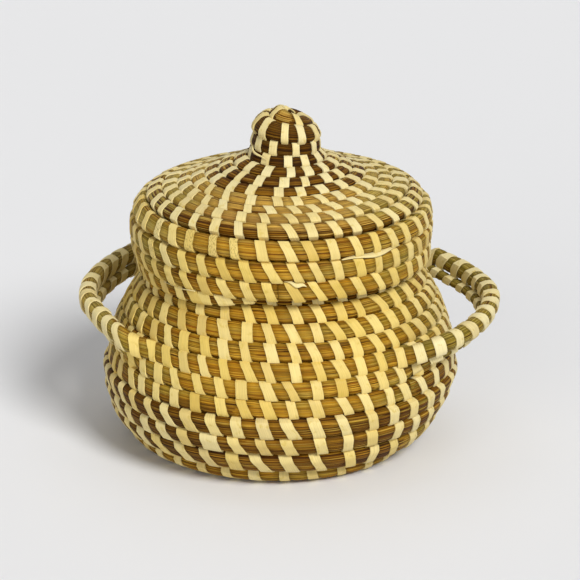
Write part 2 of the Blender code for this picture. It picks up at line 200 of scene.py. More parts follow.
# %% Turns where a band ends
BASE_START, EYE_END, FOOT_START, FOOT_END, BELLY_END = -6.0, -3.0, -1.0, 0.87, 3.87
HANDLE_START, HANDLE_SWAP, HANDLE_END, SHOULDER_END = 4.5, 5.5, 6.5, 9.5
RIM_START, RIM_END = 13, 13.95
KNOB_END, SKIRT_END, DOME_END, DARK_DOME_END, SIDE_END, LID_END = 2.55, 6.6, 9.6, 10.6, 13, 13.972

# %% The lid's outline and thickness
LID_OUTLINE = [
    (0.0050, 0.0697), (0.0113, 0.0648), (0.0150, 0.0570), (0.0160, 0.0497), (0.0270, 0.0432),
    (0.0460, 0.0355), (DOME_RADIUS, 0.0303), (LID_RADIUS - 0.0001, 0.0238),
    (LID_RADIUS + 0.0009, 0.0150), (LID_RADIUS, 0.0060),
]
LID_OUTLINE = [(radius, NECK[1] + rise) for radius, rise in LID_OUTLINE]
LID_CORDS = [
    (0, KNOB_CORD), (1.55, KNOB_CORD), (KNOB_END, SKIRT_CORD), (SKIRT_END, SKIRT_CORD),
    (DOME_END, DOME_CORD), (DARK_DOME_END, SIDE_CORD), (SIDE_END, SIDE_CORD),
]
LID_TAIL = [(13, 1.0), (13.5, 0.84), (13.75, 0.72), (13.89, 0.70), (13.93, 0.58), (LID_END, 0.24)]


# %% Easing and tables
def ease(value):
    """0 below 0, 1 above 1, and smooth between."""
    value = np.clip(value, 0.0, 1.0)
    return value * value * (3 - 2 * value)


def fade(value, start, length):
    """0 up to a start, 1 beyond a length from it, and smooth between."""
    return ease((value - start) / length)


def between(turns, first, last, blend=0.025):
    """1 between two turns, 0 outside, and blended at both."""
    return ease((turns - first) / blend + 0.5) * ease((last - turns) / blend + 0.5)


def look_up(table, turn):
    """A table's value at a turn."""
    return np.interp(turn, *zip(*table))


def distances(points):
    """How far along a line each of its points is."""
    steps = np.linalg.norm(np.diff(points, axis=0), axis=1)
    return np.concatenate([[0.0], np.cumsum(steps)])


# %% The winding
class Winding:
    """A bundle wound along an outline, which travels its own thickness in every turn."""

    OUTLINE_STEPS, TRAVEL_STEPS = 24, 60

    def __init__(self, corners, cords, sense):
        corners = np.array(corners, float)
        spans = np.linalg.norm(np.diff(corners, axis=0), axis=1)
        slopes = np.gradient(corners, distances(corners), axis=0)
        t = (np.arange(1, self.OUTLINE_STEPS + 1) / self.OUTLINE_STEPS)[:, None]
        line = [corners[:1]]
        for i, span in enumerate(spans):
            start = (1 + 2 * t) * (1 - t) ** 2 * corners[i] + t * (1 - t) ** 2 * span * slopes[i]
            end = t * t * (3 - 2 * t) * corners[i + 1] - t * t * (1 - t) * span * slopes[i + 1]
            line.append(start + end)
        line = np.concatenate(line)
        self.reach = distances(line)
        self.radii, self.heights = line.T
        heading = np.gradient(line, self.reach, axis=0)
        self.slopes = np.unwrap(np.arctan2(heading[:, 1], heading[:, 0]))
        self.cord_turns, self.cords = zip(*cords)
        self.first, self.last, self.sense = self.cord_turns[0], self.cord_turns[-1], sense
        steps = int((self.last - self.first) * self.TRAVEL_STEPS)
        self.turns = np.linspace(self.first, self.last, steps + 1)
        pace = np.interp(self.turns, self.cord_turns, self.cords)
        travel = np.concatenate([[0.0], np.cumsum((pace[1:] + pace[:-1]) / 2 * np.diff(self.turns))])
        self.fit = self.reach[-1] / travel[-1]
        self.travel = travel * self.fit

    def cord(self, turn):
        """Thickness of the bundle at a turn."""
        return np.interp(turn, self.cord_turns, self.cords) * self.fit

    def section(self, turn):
        """Radius, height and slope of the outline at a turn."""
        distance = np.interp(turn, self.turns, self.travel)
        return [np.interp(distance, self.reach, line) for line in (self.radii, self.heights, self.slopes)]

    def azimuth(self, turn):
        """Direction from the axis at a turn."""
        return FRONT + self.sense * math.tau * turn

    def points(self, turns, radius, height):
        """Points at turns, radii and heights."""
        angle = self.azimuth(turns)
        return np.stack([radius * np.cos(angle), radius * np.sin(angle), height], axis=1)

    def room(self, turn):
        """Space between the middles of this turn and its nearest neighbour."""
        radius, height = self.section(turn)[:2]
        room = self.cord(turn)
        for other in (turn - 1, turn + 1):
            near = self.section(other)
            gap = np.hypot(near[0] - radius, near[1] - height)
            room = np.where((other >= self.first) & (other <= self.last), np.minimum(room, gap), room)
        return room


lid_winding = Winding(LID_OUTLINE, LID_CORDS, 1)
print("lid bundle:", lid_winding.last, "turns along", round(lid_winding.reach[-1], 4), "m of outline")


# %% The basket's outline ends under the lid
RIM_TAIL_SHARE = 0.20
RIM_RADIUS = 0.0530


def lid_underside(radius):
    """Height of the lid's underside at a radius inside its dome."""
    dome = int(np.searchsorted(lid_winding.radii, DOME_RADIUS))
    distance = np.interp(radius, lid_winding.radii[:dome], lid_winding.reach[:dome])
    turn = np.interp(distance, lid_winding.travel, lid_winding.turns)
    room = lid_winding.cord(turn)
    thick = min((room - TURN_GAP) / (2 * FACET_SHARE), room / 2)
    return float(np.interp(distance, lid_winding.reach, lid_winding.heights) - thick)


RIM_SHARE = (1 + RIM_TAIL_SHARE + RIM_TAIL_SHARE * FACET_SHARE) / 2 - (RIM_START + 1 - RIM_END)
RIM_HEIGHT = lid_underside(RIM_RADIUS) - SEAT_GAP - RIM_SHARE * NECK_CORD
BASKET_OUTLINE = [
    (EYE_RADIUS, BASE_MIDDLE), (FOOT_RADIUS - BASE_CORD - FOOT_CORD, BASE_MIDDLE),
    (FOOT_RADIUS - (BASE_CORD + FOOT_CORD) / 2, BASE_MIDDLE), (FOOT_RADIUS, FOOT_CORD / 2),
    (0.0750, 0.0196), BELLY, (0.0772, 0.0570), (0.0680, NECK[1] - 0.0163), NECK,
    (RIM_RADIUS, RIM_HEIGHT),
]
BASKET_CORDS = [
    (BASE_START, BASE_CORD), (FOOT_START, BASE_CORD), (0, FOOT_CORD), (FOOT_END, FOOT_CORD),
    (BELLY_END, BELLY_CORD), (HANDLE_SWAP, SHOULDER_CORD), (SHOULDER_END, SHOULDER_CORD),
    (RIM_START, NECK_CORD),
]
basket_winding = Winding(BASKET_OUTLINE, BASKET_CORDS, -1)
print("basket bundle:", basket_winding.last - basket_winding.first, "turns")

# %% [markdown]
# ## Handles
#
# Two turns of the basket's bundle leave the wall at both sides and run over each other through the
# air, and these are the handles. Each bow is an eased hump on the winding: out of the wall first,
# then up. The lower bundle is thinner there and tucked in under the upper one.

# %% Bows
BOW_PLACES = (0.268, 0.752)
BOW_HALF = 0.138
BOW_OUT = (0.0186, 0.0240)
BOW_RISE = (0.0090, 0.0100)
BOW_BACK_LIFT = 0.0075
LOWER_TUCK, LOWER_SHARE = 0.0032, 0.66


def bow_middle(start, share):
    """The turn in the middle of a bow, on the handle row that starts at a turn."""
    return math.floor(start) + share + (1 if share < 0.5 else 0)


def bow_shares(turn):
    """How far out and how far up a handle row is: 0 on the wall, 1 at the bow's middle."""
    passed = turn % 1.0
    off = np.abs(passed - np.where(passed < 0.5, *BOW_PLACES)) / BOW_HALF
    reach = ease(3.0 * (1 - off))
    return reach * (1 - 0.6 * np.minimum(off, 3.0) ** 1.5), reach * reach


def solid_radius(winding, turn):
    """Radius of the solid's cord, which keeps clear of the turns before and after it."""
    slope = winding.section(turn)[2]
    bend = 0.0 * turn
    for other in (turn - 1, turn + 1):
        near = winding.section(other)
        inside = (other >= winding.first) & (other <= winding.last)
        bend = np.where(inside, np.maximum(bend, np.abs(near[2] - slope) / 2), bend)
    facing = np.cos(np.maximum(math.pi / 6 - bend, 0.0))
    room = winding.room(turn)
    return np.minimum((room - TURN_GAP) / (2 * facing), room / 2)


def upper_bow(turn):
    """Radius and height of the upper handle row."""
    radius, height = basket_winding.section(turn)[:2]
    out, up = bow_shares(turn)
    left = turn % 1.0 < 0.5
    lift = BOW_BACK_LIFT * np.sin(basket_winding.azimuth(turn))
    return radius + out * np.where(left, *BOW_OUT), height + up * (np.where(left, *BOW_RISE) + lift)


def lower_bow(turn):
    """Radius and height of the lower handle row, tucked in against the upper one."""
    radius, height = basket_winding.section(turn)[:2]
    over, top = upper_bow(turn + 1)
    room = LOWER_SHARE * solid_radius(basket_winding, turn) + TURN_GAP
    room = room + solid_radius(basket_winding, turn + 1)
    share = bow_shares(turn)[1]
    drop = np.sqrt(np.maximum(room ** 2 - LOWER_TUCK ** 2, 0.0))
    return radius + share * (over - LOWER_TUCK - radius), height + share * (top - drop - height)


# %% [markdown]
# ## The bundle's line
#
# The line of a bundle is a table of close stops: the middle, the direction that faces out of the
# wall, the direction up the wall, and half the thickness each way. Rows that are pressed against
# each other are squarer in section than the round bundles of a bow. Handmade slips are added at
# the end. As in the solids, the base sits a little to the left and the belly tilts. Beyond them,
# the left bow and belly are pressed in and the far side droops, as the photograph shows.

# %% Handmade slips
BASE_LEFT = 0.0030
BELLY_TILT = 0.0017
FAR_DROP = 0.0015
RIGHT_BOW_DROP = 0.0017
LEFT_BOW_IN = 0.0024
LEFT_BELLY_IN = 0.0016
NECK_LEFT = 0.0011


def handmade(points):
    """Shift and tilt points as the maker's hands left the basket, on the floor and no lower."""
    x, y, z = points.T
    below = np.maximum(NECK[1] - z, 0.0) / NECK[1]
    lift = BELLY_TILT * x / BELLY[0] * ease(z / BELLY[1])
    lift = lift - FAR_DROP * fade(y, 0.0, 0.05) * fade(z, 0.10, 0.015)
    right_bow = fade(x, 0.074, 0.01) * fade(y, 0.0, 0.03) * fade(z, 0.055, 0.015)
    left_bow = fade(-x, 0.070, 0.015) * fade(-y, 0.004, 0.02) * fade(z, 0.045, 0.01)
    left_belly = fade(-x, 0.050, 0.03) * fade(z, 0.016, 0.014) * fade(-z, -0.058, 0.012)
    neck = fade(z, 0.088, 0.014) * fade(-z, -0.142, 0.010)
    lift = lift - RIGHT_BOW_DROP * right_bow
    right = LEFT_BOW_IN * left_bow + LEFT_BELLY_IN * left_belly - NECK_LEFT * neck - BASE_LEFT * below
    return np.stack([x + right + BASKET_AXIS, y, np.maximum(z + lift, 0.0)], axis=1)


# %% Lines
def line_of(winding, turns, radius, height, slope, thick, square, outward_sign):
    """A table of stops along a bundle."""
    middle = winding.points(turns, radius, height)
    along = np.gradient(middle, turns, axis=0)
    pace = np.linalg.norm(along, axis=1)
    flat = along[:, :2] / np.linalg.norm(along[:, :2], axis=1)[:, None]
    outward = np.stack([winding.sense * flat[:, 1], -winding.sense * flat[:, 0], 0 * turns], axis=1)
    upright = np.array([0.0, 0.0, 1.0])
    cos, sin = np.cos(slope)[:, None], np.sin(slope)[:, None]
    face = outward_sign * (outward * sin - upright * cos)
    rise = outward_sign * (outward * cos + upright * sin)
    return {
        "turns": turns, "middle": middle, "face": face, "rise": rise, "thick": thick,
        "square": square, "pace": pace, "length": distances(middle), "sense": winding.sense,
    }


# %% Shapes of the two bundles
STOPS_PER_TURN = 720
WALL_SQUARE = 3.5
BOW_SQUARE = 2.1
KNOB_SQUARE = 2.7
KNOB_LEAN = 0.0008
KNOB_BLEND = np.linspace(-0.07, 0.07, 9)
TAIL_OUT = 0.0009
# Turn, then radius, height and half thickness in millimetres
KNOB_CURL = [
    (-0.62, 2.6, 159.8, 3.0), (-0.45, 3.0, 160.6, 3.8), (-0.25, 3.4, 161.0, 4.2),
    (-0.1, 4.0, 160.9, 4.3), (0.0, 5.6, 159.7, 4.3), (0.08, 6.7, 158.5, 4.3),
    (0.15, 7.2, 157.0, 4.2), (0.25, 8.2, 155.4, 4.3),
    (0.5, 9.3, 156.9, 4.6), (0.75, 9.9, 157.0, 5.1), (1.0, 11.5, 155.0, 4.6), (1.25, 12.3, 152.0, 3.8),
    (1.5, 12.3, 151.1, 3.9), (1.75, 12.5, 149.9, 3.9), (2.0, 12.6, 148.0, 3.8), (2.5, 13.1, 144.8, 3.6),
    (3.0, 14.6, 141.8, 3.6), (3.5, 17.2, 139.2, 3.5), (4.0, 21.0, 137.4, 3.5), (4.5, 24.4, 136.05, 3.45),
    (5.0, 27.75, 134.6, 3.41), (5.3, 29.65, 133.74, 3.41),
]
CURL_START = KNOB_CURL[0][0]
ROW_OVERLAP = 0.00030
# Turn, then how far a row slips out and up and how much its half thickness grows, in millimetres
BELLY_SLIP = [
    (-1, 0.3, 0.0, 0.0), (-0.2, -0.6, 0.8, 0.5), (0, -0.3, 1.5, 1.15),
    (1, 1.3, 3.9, 0.8), (2, 1.9, 3.9, -0.2), (3, 0.6, 2.8, -0.25),
    (4, -1.8, 1.3, -0.40), (5, -0.4, 0.5, -0.20), (6, 0.0, 0.0, 0.0),
]


def stops(first, last):
    """Turns of the stops from one turn to another."""
    return np.linspace(first, last, int((last - first) * STOPS_PER_TURN) + 1)


def run_out(winding, turns, start, share, shape, out=0.0):
    """A shape that past a turn lies against the row before it, thinned to a share and moved out."""
    cord = share * winding.cord(start)
    radius, height, slope = winding.section(turns - 1)
    step = (winding.cord(turns - 1) + cord) / 2
    end = (radius + (step * np.cos(slope) + out), height + step * np.sin(slope), slope, cord / 2)
    return [np.where(turns > start, *pair) for pair in zip(end, shape)]


def basket_line(first=BASE_START, last=RIM_END, bowed=True, thick=None):
    """The basket's bundle from one turn to another, with or without its bows."""
    turns = stops(first, last)
    radius, height, slope = basket_winding.section(turns)
    half = (basket_winding.room(turns) if thick is None else thick(turns)) / 2
    square = WALL_SQUARE + 0 * turns
    share = 1 - (1 - RIM_TAIL_SHARE) * np.clip((turns - RIM_START) / (RIM_END - RIM_START), 0, 1)
    shape = (radius, height, slope, half)
    radius, height, slope, half = run_out(basket_winding, turns, RIM_START, share, shape)
    if bowed:
        up = np.where((turns > HANDLE_START) & (turns < HANDLE_END), bow_shares(turns)[1], 0.0)
        lower = (turns > HANDLE_START) & (turns < HANDLE_SWAP)
        upper = (turns >= HANDLE_SWAP) & (turns < HANDLE_END)
        low, high = lower_bow(turns), upper_bow(turns)
        radius = np.where(lower, low[0], np.where(upper, high[0], radius))
        height = np.where(lower, low[1], np.where(upper, high[1], height))
        half = np.where(lower, half * (1 - (1 - LOWER_SHARE) * up), half)
        slope = math.pi / 2 + (slope - math.pi / 2) * (1 - up)
        square = WALL_SQUARE + (BOW_SQUARE - WALL_SQUARE) * up
    stop, *slips = (np.array(column) for column in zip(*BELLY_SLIP))
    out, rise, swell = (np.interp(turns, stop, slip) / 1000 for slip in slips)
    radius, height, half = radius + out, height + rise, half + swell
    return line_of(basket_winding, turns, radius, height, slope, half, square, 1)


def lid_line():
    """The lid's bundle, from the curl that closes the knob to its thinned end under the side."""
    turns = stops(CURL_START, LID_END)
    radius, height, slope = lid_winding.section(np.maximum(turns, 0.0))
    half = lid_winding.room(np.maximum(turns, 0.0)) / 2
    knob = turns < KNOB_CURL[-1][0]
    stop, *shape = (np.array(column) for column in zip(*KNOB_CURL))
    near = turns[:, None] + KNOB_BLEND
    curl = [np.interp(near, stop, column).mean(axis=1) / 1000 for column in shape]
    radius, height, half = (np.where(knob, *pair) for pair in zip(curl, (radius, height, half)))
    shape = (radius, height, slope, half)
    share, out = look_up(LID_TAIL, turns), TAIL_OUT * fade(turns, 13.6, 0.2)
    radius, height, slope, half = run_out(lid_winding, turns, SIDE_END, share, shape, out)
    square = KNOB_SQUARE + (WALL_SQUARE - KNOB_SQUARE) * fade(turns, 2.5, 2)
    line = line_of(lid_winding, turns, radius, height, slope, half, square, -1)
    line["middle"][:, 0] += KNOB_LEAN * fade(height, 0.138, 0.008)
    return line


BASKET_LINE, LID_LINE = basket_line(), lid_line()
print("bundle lengths, m:", [round(line["length"][-1], 2) for line in (BASKET_LINE, LID_LINE)])


# %% Points round a bundle
def at(line, turns, key):
    """A value of the line at any turns."""
    table = line[key]
    if table.ndim == 1:
        return np.interp(turns, line["turns"], table)
    return np.stack([np.interp(turns, line["turns"], column) for column in table.T], axis=-1)


def lay(line, turns, angles, proud, drop=0.0):
    """Points round the bundle: turns, angles from the outward face up the wall, and how proud."""
    square = at(line, turns, "square") * (1 + drop)
    squash = (np.abs(np.cos(angles)) ** square + np.abs(np.sin(angles)) ** square) ** (-1 / square)
    reach = at(line, turns, "thick") * squash + proud + ROW_OVERLAP * np.abs(np.sin(angles))
    face, rise = at(line, turns, "face"), at(line, turns, "rise")
    low = np.where(angles < 0, 1 + drop * np.abs(np.cos(angles / 2 + math.pi / 4)) ** 0.5, 1.0)
    across = face * np.cos(angles)[:, None] + rise * (low * np.sin(angles))[:, None]
    return handmade(at(line, turns, "middle") + across * reach[:, None])


def surface_pace(line, turns, angles):
    """Metres per turn on the bundle's skin, which is longer on the outside of a tight winding."""
    middle = at(line, turns, "middle")
    radius = np.hypot(middle[:, 0], middle[:, 1])
    outward = at(line, turns, "face") * np.cos(angles)[:, None]
    outward = outward + at(line, turns, "rise") * np.sin(angles)[:, None]
    toward = (outward[:, 0] * middle[:, 0] + outward[:, 1] * middle[:, 1]) / radius
    stretch = 1 + toward * at(line, turns, "thick") / radius
    return at(line, turns, "pace") * np.maximum(stretch, 0.7)


# %% [markdown]
# ## Where the stitches go
#
# The maker sews about every 12 mm and lets each stitch follow the one below, so the number of
# stitches per turn grows with the basket. The counts below say how many stitches have been sewn
# when each row passes the front. They were counted in the photograph; the hidden rows go on alike.

# %% Stitch counts
BASKET_COUNTS = [
    (-6, 0), (-5, 5), (-4, 13), (-3, 24), (-2, 38), (-1, 55), (0, 84.36),
    (1, 118.45), (2, 156.48), (3, 197.48), (4, 241.55), (5, 287.52), (6, 332.56), (7, 378.54),
    (8, 422.55), (9, 461.55), (10, 497.5), (11, 532.5), (12, 567.5), (13, 602.5), (14, 636.5),
]
LID_COUNTS = [
    (-0.8, 0.9), (0, 4.57), (0.6, 7.27), (1, 11.07), (2, 21.59), (3, 30.88), (4, 43.58), (5, 59.92),
    (6, 78.12), (7, 99.2), (8, 125.43), (9, 155.62), (10, 188.7), (11, 225.75),
    (12, 266.4), (13, 308.5), (13.880, 345.0), (13.9025, 346.0), (13.914, 347.0),
    (13.9325, 348.0), (13.940, 349.0), (13.964, 350.0), (13.980, 351.0), (14.2, 362.0),
]


def with_bows(line, counts):
    """The counts with whole stitches added on each bow, where the bundle travels farther."""
    turns = line["turns"]
    wall = math.tau * basket_winding.section(turns)[0]
    sewn = look_up(counts, turns)
    longer = np.gradient(sewn) * np.maximum(line["pace"] / wall - 1.0, 0.0)
    for start in (HANDLE_START, HANDLE_SWAP):
        for share in BOW_PLACES:
            here = np.abs(turns - bow_middle(start, share)) < BOW_HALF + 0.03
            total = longer[here].sum()
            sewn = sewn + np.cumsum(np.where(here, longer, 0.0)) / total * round(total + 0.3)
    return list(zip(turns, sewn))


# %% Widths, paleness and small differences
BASKET_WIDTHS = [(-6, 0.0049), (0.3, 0.0050), (1, 0.0056), (3, 0.0056), (4.2, 0.0051), (14, 0.0049)]
LID_WIDTHS = [
    (-1, 0.0036), (2, 0.0040), (6, 0.0044), (10, 0.0046), (13.87, 0.0047),
    (13.89, 0.0058), (13.92, 0.0058), (13.93, 0.0044), (13.95, 0.0048), (13.97, 0.0045),
]
BASKET_PALE = [(-1, 0.4), (0.9, 0.2), (1.2, 0.35), (3.7, 0.35), (4.1, 0.1), (9, 0.0), (10, 0.5)]
LID_PALE = [(-1, 0.5), (2, 0.7), (6, 0.8), (7, 0.6), (10, 0.5), (11, 0.1), (13, 0.0)]
WIDE_BASKET_STITCHES = {159: 1.6}
SPECKLED_LID_STITCHES = [220, 222, 223, 224, 260]
COUNT_SPREAD = (-0.09, 0.09)
WIDTH_SPREAD = (0.86, 1.14)
SLANT_SPREAD = (0.35, 1.65)
PALE_SPREAD = (-0.15, 0.25)
LIFT_SPREAD = (0.8, 1.25)
BASKET_STITCH_SEED, LID_STITCH_SEED, WALL_STITCH_SEED = 21, 22, 500


def off_wall(middle):
    """1 where a bundle has left the wall for a handle, 0 where it lies on the wall."""
    return fade(np.hypot(middle[:, 0], middle[:, 1]), BELLY[0], 0.006)


# %% Stitches
def stitches(line, counts, widths, pale, seed, wide=None, speckled=()):
    """Every stitch of a line, each with its own place, width, slant, tint and height."""
    rng = np.random.RandomState(seed)
    first, last = line["turns"][[0, -1]]
    numbers = np.arange(math.ceil(look_up(counts, first)), math.floor(look_up(counts, last)) + 1)
    many = len(numbers)
    row_turns, sewn = zip(*counts)
    turns = np.interp(numbers + rng.uniform(*COUNT_SPREAD, many), sewn, row_turns)
    widths = look_up(widths, turns) * rng.uniform(*WIDTH_SPREAD, many)
    for number, share in (wide or {}).items():
        widths[numbers == number] *= share
    knob = between(turns, -1.0, 6.0, 3.0) * (line["sense"] > 0)
    slants = rng.uniform(*SLANT_SPREAD, many) * (1 - knob)
    middle = at(line, turns, "middle")
    across, bow = middle[:, 0], off_wall(middle)
    pale = look_up(pale, turns) + rng.uniform(*PALE_SPREAD, many)
    # Painted light: paler strips on the handles, the left one more because it lies in shadow, and on the
    # right side.
    pale = pale + (0.5 - 0.1 * np.sign(across)) * bow + 0.3 * fade(across, 0.045, 0.03)
    return {
        "turns": turns, "width": widths * (1 + 0.06 * bow), "slant": slants,
        "tint": rng.uniform(0, 1, many), "lift": rng.uniform(*LIFT_SPREAD, many),
        "pale": np.clip(pale, 0.0, 1.0), "speck": np.where(np.isin(numbers, speckled), 1.0, 0.0),
    }


BOWED_COUNTS = with_bows(BASKET_LINE, BASKET_COUNTS)
BASKET_STITCHES = stitches(
    BASKET_LINE, BOWED_COUNTS, BASKET_WIDTHS, BASKET_PALE, BASKET_STITCH_SEED, WIDE_BASKET_STITCHES,
)
LID_STITCHES = stitches(
    LID_LINE, LID_COUNTS, LID_WIDTHS, LID_PALE, LID_STITCH_SEED, speckled=SPECKLED_LID_STITCHES,
)
print("stitches:", len(BASKET_STITCHES["turns"]), "and", len(LID_STITCHES["turns"]))


# %% [markdown]
# ## The bundle of grass
#
# A bundle is some hundred dry stems, held together by nothing but the stitches: it bulges a little
# between them, and single stems stand proud. It is made from a flat grid as long as the bundle and
# as wide as its girth, which is rolled up along the line. A curve with a round bevel would be
# quicker, but it can't swell between the stitches and has no stems. Each point also gets shares of
# dark and olive stems, which the material turns into streaks, and a share of painted light. The
# olive share is partly painted light on the sides, back, top and handles, and the dark share is
# partly painted shade low on the left.

# %% Stems and stitches
SIDES = 36
RING_STEP = 0.0014
STRIP_SLANT_SHARE = 0.42
STRIP_TAIL_SHARE = 0.18
GRASS_SUNK = 0.00048
STEM_RELIEF = 0.00020
STEM_KNOT_LENGTH = 0.014
BULGE = 0.00030
HELD_SHARE = 0.42
FREE_LENGTH = 0.0028


def strip_offset(line, turns, angles):
    """How far along the bundle a strip lies at an angle, to the right as seen from outside."""
    tail = np.exp(-((angles + 1.75) / 0.36) ** 2)
    share = -STRIP_SLANT_SHARE * np.sin(angles) + STRIP_TAIL_SHARE * tail
    return share * at(line, turns, "thick")


# %% Rolling a flat grid
def flat_grid(name, rings, sides):
    """A flat grid, with each point's share of its length and of its width."""
    bpy.ops.mesh.primitive_grid_add(x_subdivisions=rings, y_subdivisions=sides, size=1)
    grid = bpy.context.object
    grid.name = grid.data.name = name
    co = np.empty(len(grid.data.vertices) * 3)
    grid.data.vertices.foreach_get("co", co)
    co = co.reshape(-1, 3)
    return grid, co[:, 0] + 0.5, co[:, 1] + 0.5


def keep(mesh, values):
    """Keep values on the points of a mesh, for its material."""
    for name, value in values.items():
        attribute = mesh.attributes.new(name, "FLOAT", "POINT")
        value = np.broadcast_to(value, len(mesh.vertices)).astype(np.float32)
        attribute.data.foreach_set("value", value)


def weld(capped):
    """Merge doubled points of the active mesh, cap its open ends or not, and turn faces outwards."""
    bpy.ops.object.mode_set(mode="EDIT")
    bpy.ops.mesh.select_all(action="SELECT")
    bpy.ops.mesh.remove_doubles(threshold=0.000001)
    if capped:
        bpy.ops.mesh.select_all(action="DESELECT")
        bpy.ops.mesh.select_non_manifold(
            extend=False, use_boundary=True, use_wire=False,
            use_multi_face=False, use_non_contiguous=False, use_verts=False,
        )
        bpy.ops.mesh.edge_face_add()
        bpy.ops.mesh.select_all(action="SELECT")
    bpy.ops.mesh.normals_make_consistent(inside=False)
    bpy.ops.object.mode_set(mode="OBJECT")


def roll(grid, points, map_size, map_start, values):
    """Roll a flat grid up to its points, with a map in metres, kept values and closed ends."""
    mesh = grid.data
    mesh.vertices.foreach_set("co", points.ravel())
    uv = np.empty(len(mesh.loops) * 2)
    mesh.uv_layers[0].data.foreach_get("uv", uv)
    uv = uv.reshape(-1, 2) * map_size + map_start
    mesh.uv_layers[0].data.foreach_set("uv", uv.ravel())
    keep(mesh, values)
    weld(capped=True)
    mesh.shade_smooth()
    grid.select_set(False)


# %% Grass
def grass_shares(middle, dark, free):
    """Shares of dark stems with painted shade, of greener stems with painted light, of painted light, and
    of grass that no strip holds down.
    """
    x, y, z = middle.T
    bow = off_wall(middle)
    high = fade(z, 0.115, 0.007)
    behind = fade(y, -0.03, 0.05)
    away = np.maximum(fade(np.abs(x), 0.022, 0.03), behind)
    # Painted light: more olive stems towards the sides, the back, the top and the handles stand in for
    # the cooler light there.
    olive_and_painted_light = 0.10 + 0.45 * fade(np.abs(x), 0.025, 0.04) + 0.3 * bow
    olive_and_painted_light = olive_and_painted_light + 0.25 * fade(y, -0.02, 0.06) + 0.5 * high * away
    # Painted light: paler grass on the lid's top, standing in for glare, and on the far left handle,
    # which lies in shadow.
    painted_light = high * (1 - 0.6 * away) + 0.7 * bow * behind * fade(-x, 0.06, 0.02)
    # Painted shade: more dark stems on the left, low on the wall, where the basket is in shade.
    left = fade(-x, 0.01, 0.04) * fade(-z, -0.052, 0.01)
    dark = dark * (1 + 0.35 * left)
    return {"dark_and_painted_shade_share": dark, "olive_and_painted_light_share": olive_and_painted_light, "painted_light_share": painted_light, "free_share": free}


def grass(name, line, sewn, first, last, seed, dark):
    """A bundle from one turn to another, rolled from a flat grid."""
    start = at(line, first, "length")
    length = at(line, last, "length") - start
    girth = math.tau * at(line, np.linspace(first, last, 50), "thick").max()
    bundle, along, around = flat_grid(name, int(length / RING_STEP), SIDES)
    turns = first + along * (last - first)
    angles = math.pi - around * math.tau
    pace = surface_pace(line, turns, angles)
    offset = line["sense"] * strip_offset(line, turns, angles) / pace
    near = np.round(np.interp(turns - offset, sewn["turns"], np.arange(len(sewn["turns"])))).astype(int)
    apart = np.abs(turns - sewn["slant"][near] * offset - sewn["turns"][near]) * pace
    rng = np.random.RandomState(seed)
    knots = int(length / STEM_KNOT_LENGTH) + 2
    relief = rng.uniform(-1, 1, (SIDES, knots))
    stem = np.round(around * SIDES).astype(int) % SIDES
    place = along * (knots - 1)
    low = np.minimum(place.astype(int), knots - 2)
    step = ease(place - low)
    height = relief[stem, low] * (1 - step) + relief[stem, low + 1] * step
    free = fade(apart, HELD_SHARE * sewn["width"][near], FREE_LENGTH)
    proud = -GRASS_SUNK + BULGE * free + STEM_RELIEF * height * (0.25 + 0.75 * free)
    points = lay(line, turns, angles, proud)
    values = grass_shares(at(line, turns, "middle"), dark(turns, angles), free)
    roll(bundle, points, (length, girth), (start, 0.0), values)
    return bundle


# %% [markdown]
# ## The palm strip
#
# A stitch is one pass of a split palm leaf: a flat ribbon about 5 mm wide and half a millimetre
# thick, a little crowned, with its edges pressed into the grass. One ribbon is modelled, from a
# five-sided tube that is cut across into short lengths, and every stitch is a copy of it, wrapped
# round the bundle at its own turn, width and slant.

# %% One strip
STRIP_CUTS = 14
STRIP_SECTION = [(-1.0, -0.8), (1.0, -0.8), (0.95, 0.92), (0.0, 1.0), (-0.95, 0.92)]

bpy.ops.mesh.primitive_cylinder_add(vertices=5, radius=1, depth=2, end_fill_type="NOTHING")
strip = bpy.context.object
strip.name = "palm_strip"
bpy.ops.object.mode_set(mode="EDIT")
bpy.ops.mesh.select_mode(type="EDGE")
bpy.ops.mesh.select_all(action="DESELECT")
bpy.ops.object.mode_set(mode="OBJECT")
for edge in strip.data.edges:
    ends = [strip.data.vertices[i].co for i in edge.vertices]
    edge.select = abs(ends[0].z - ends[1].z) > 1
bpy.ops.object.mode_set(mode="EDIT")
bpy.ops.mesh.subdivide(number_cuts=STRIP_CUTS - 1)
bpy.ops.mesh.select_mode(type="VERT")
bpy.ops.object.mode_set(mode="OBJECT")
sides = [round(math.degrees(math.atan2(v.co.y, v.co.x))) for v in strip.data.vertices]
order = sorted(set(sides))
strip_points = np.array([
    STRIP_SECTION[order.index(side)] + (v.co.z,) for side, v in zip(sides, strip.data.vertices)
])
strip_faces = np.array([tuple(face.vertices) for face in strip.data.polygons])
bpy.data.objects.remove(strip)
print("one strip:", len(strip_points), "points,", len(strip_faces), "faces")

# %% Sewing
STRIP_THICKNESS = 0.00046
STRIP_DROP_SHARE = 0.16


def strip_angles(share):
    """Angles round the bundle from a place along the strip: close in front, wide behind."""
    return math.pi * (0.62 * share + 0.38 * share ** 3)


def strip_width(angles):
    """A strip's width as a share: full in front, drawn in where it goes down between the rows."""
    down = np.exp(-((angles + 1.90) / 0.45) ** 2)
    top = np.exp(-((angles - 1.80) / 0.45) ** 2)
    return 1 - 0.40 * down - 0.30 * top


